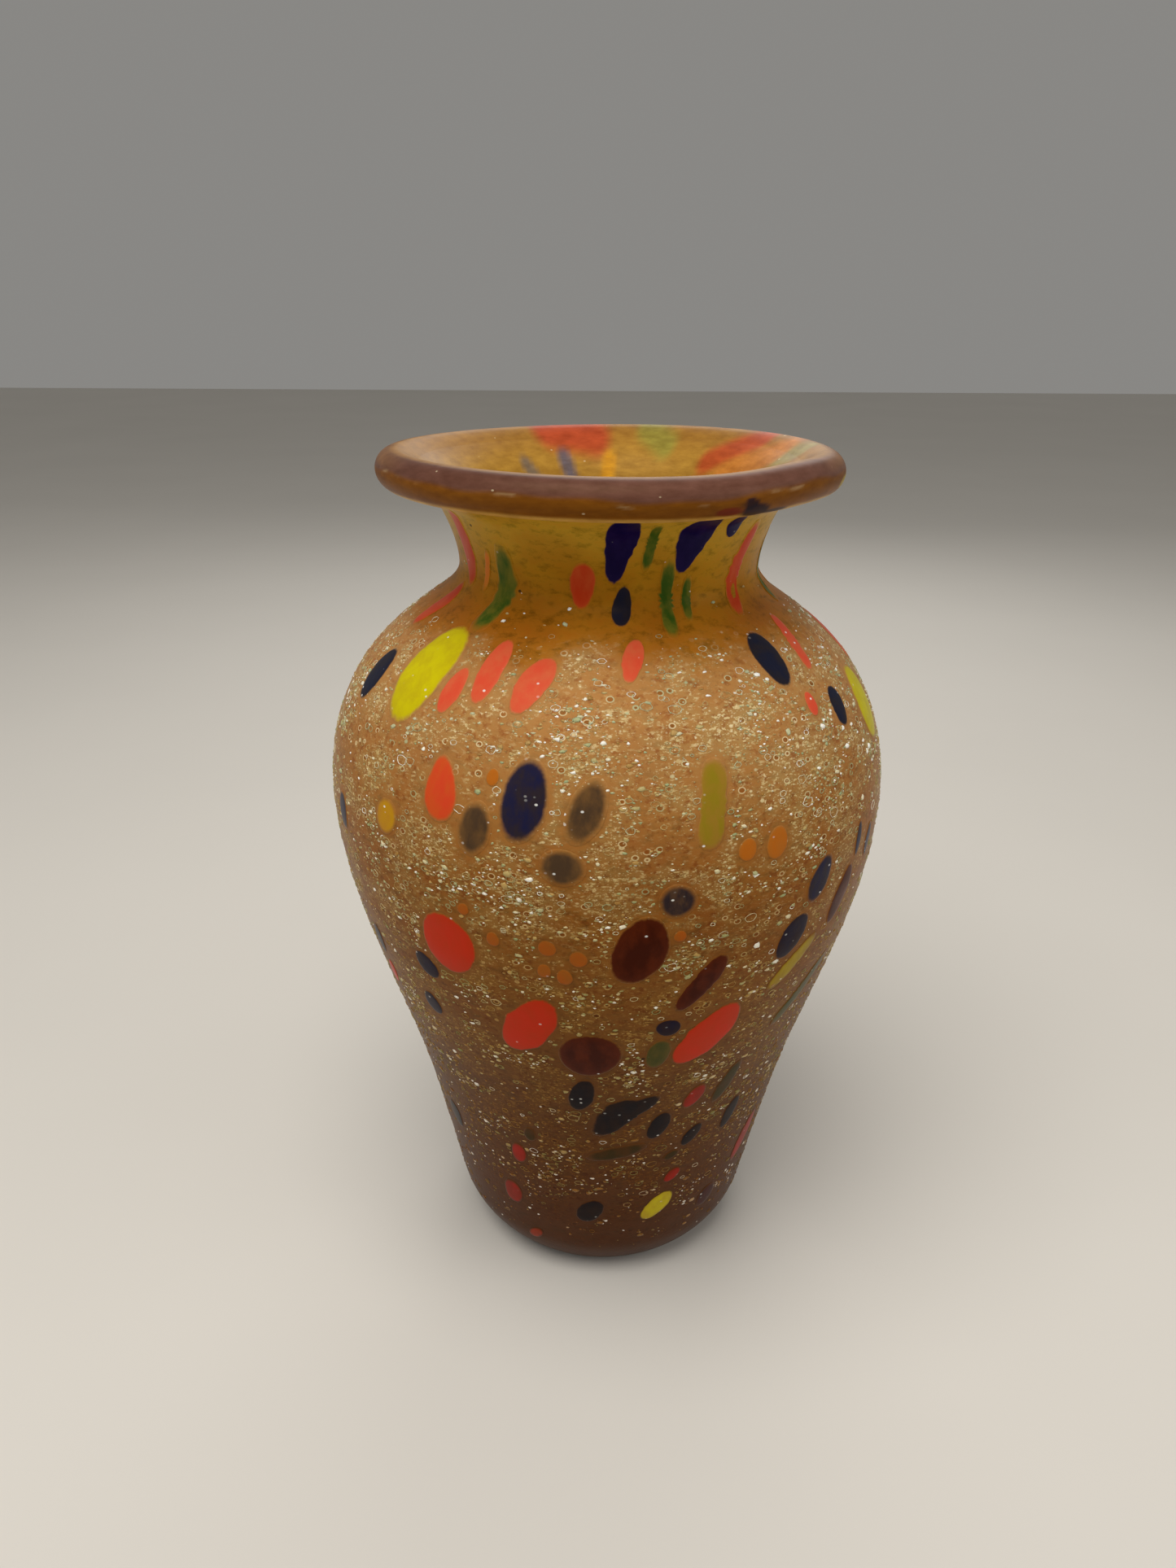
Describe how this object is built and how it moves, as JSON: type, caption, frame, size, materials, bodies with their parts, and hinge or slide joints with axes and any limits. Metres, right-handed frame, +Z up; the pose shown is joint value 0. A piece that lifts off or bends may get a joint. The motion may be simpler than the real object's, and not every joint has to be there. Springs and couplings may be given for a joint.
{
  "type": "hand blown glass vase",
  "caption": "Hand blown amber glass vase: round shoulder, short neck and rolled flaring lip, with a skin of pale crushed glass and coloured glass chips let in flush.",
  "frame": {"origin": "centre of the flat resting face under the foot", "axes": "+Z up the vase's axis of revolution to the mouth, -Y the front, +X to the right seen from the front"},
  "size_m": [0.131, 0.131, 0.205],
  "materials": {
    "amber_glass": "satin amber glass, clear inner gather",
    "frit_glass": "satin amber glass crowded with pale crushed glass and small bubbles",
    "lip_glass": "satin brown to mauve glass, thick rolled edge",
    "cobalt_glass": "satin deep cobalt glass",
    "navy_glass": "satin navy glass",
    "red_glass": "satin coral to brick red glass",
    "yellow_glass": "satin opaque yellow glass",
    "ochre_glass": "satin ochre glass",
    "green_glass": "satin bottle green glass",
    "olive_glass": "satin olive glass",
    "smoky_glass": "satin smoky grey brown glass",
    "aubergine_glass": "satin aubergine brown glass",
    "purple_glass": "satin dark purple glass",
    "orange_glass": "satin amber orange glass"
  },
  "bodies": {
    "root": {"inner_gather": "amber_glass", "frit_layer": "frit_glass", "lip_bead": "lip_glass", "cobalt_chips_neck": "cobalt_glass", "green_chips_neck": "green_glass", "red_chips_neck": "red_glass", "amber_chips_neck": "orange_glass", "yellow_chips_shoulder": "yellow_glass", "red_chips_shoulder": "red_glass", "navy_chips_shoulder": "navy_glass", "red_chips_belly": "red_glass", "navy_chips_belly": "navy_glass", "smoky_chips_belly": "smoky_glass", "olive_chips_belly": "olive_glass", "ochre_chips_belly": "ochre_glass", "amber_chips_belly": "orange_glass", "red_chips_waist": "red_glass", "navy_chips_waist": "navy_glass", "aubergine_chips_waist": "aubergine_glass", "smoky_chips_waist": "smoky_glass", "green_chips_waist": "green_glass", "yellow_chips_waist": "yellow_glass", "amber_chips_waist": "orange_glass", "navy_chips_foot": "navy_glass", "red_chips_foot": "red_glass", "green_chips_foot": "green_glass", "olive_chips_foot": "olive_glass", "yellow_chips_foot": "yellow_glass", "purple_chips_foot": "purple_glass", "orange_chips_foot": "orange_glass"}
  },
  "joints": []
}
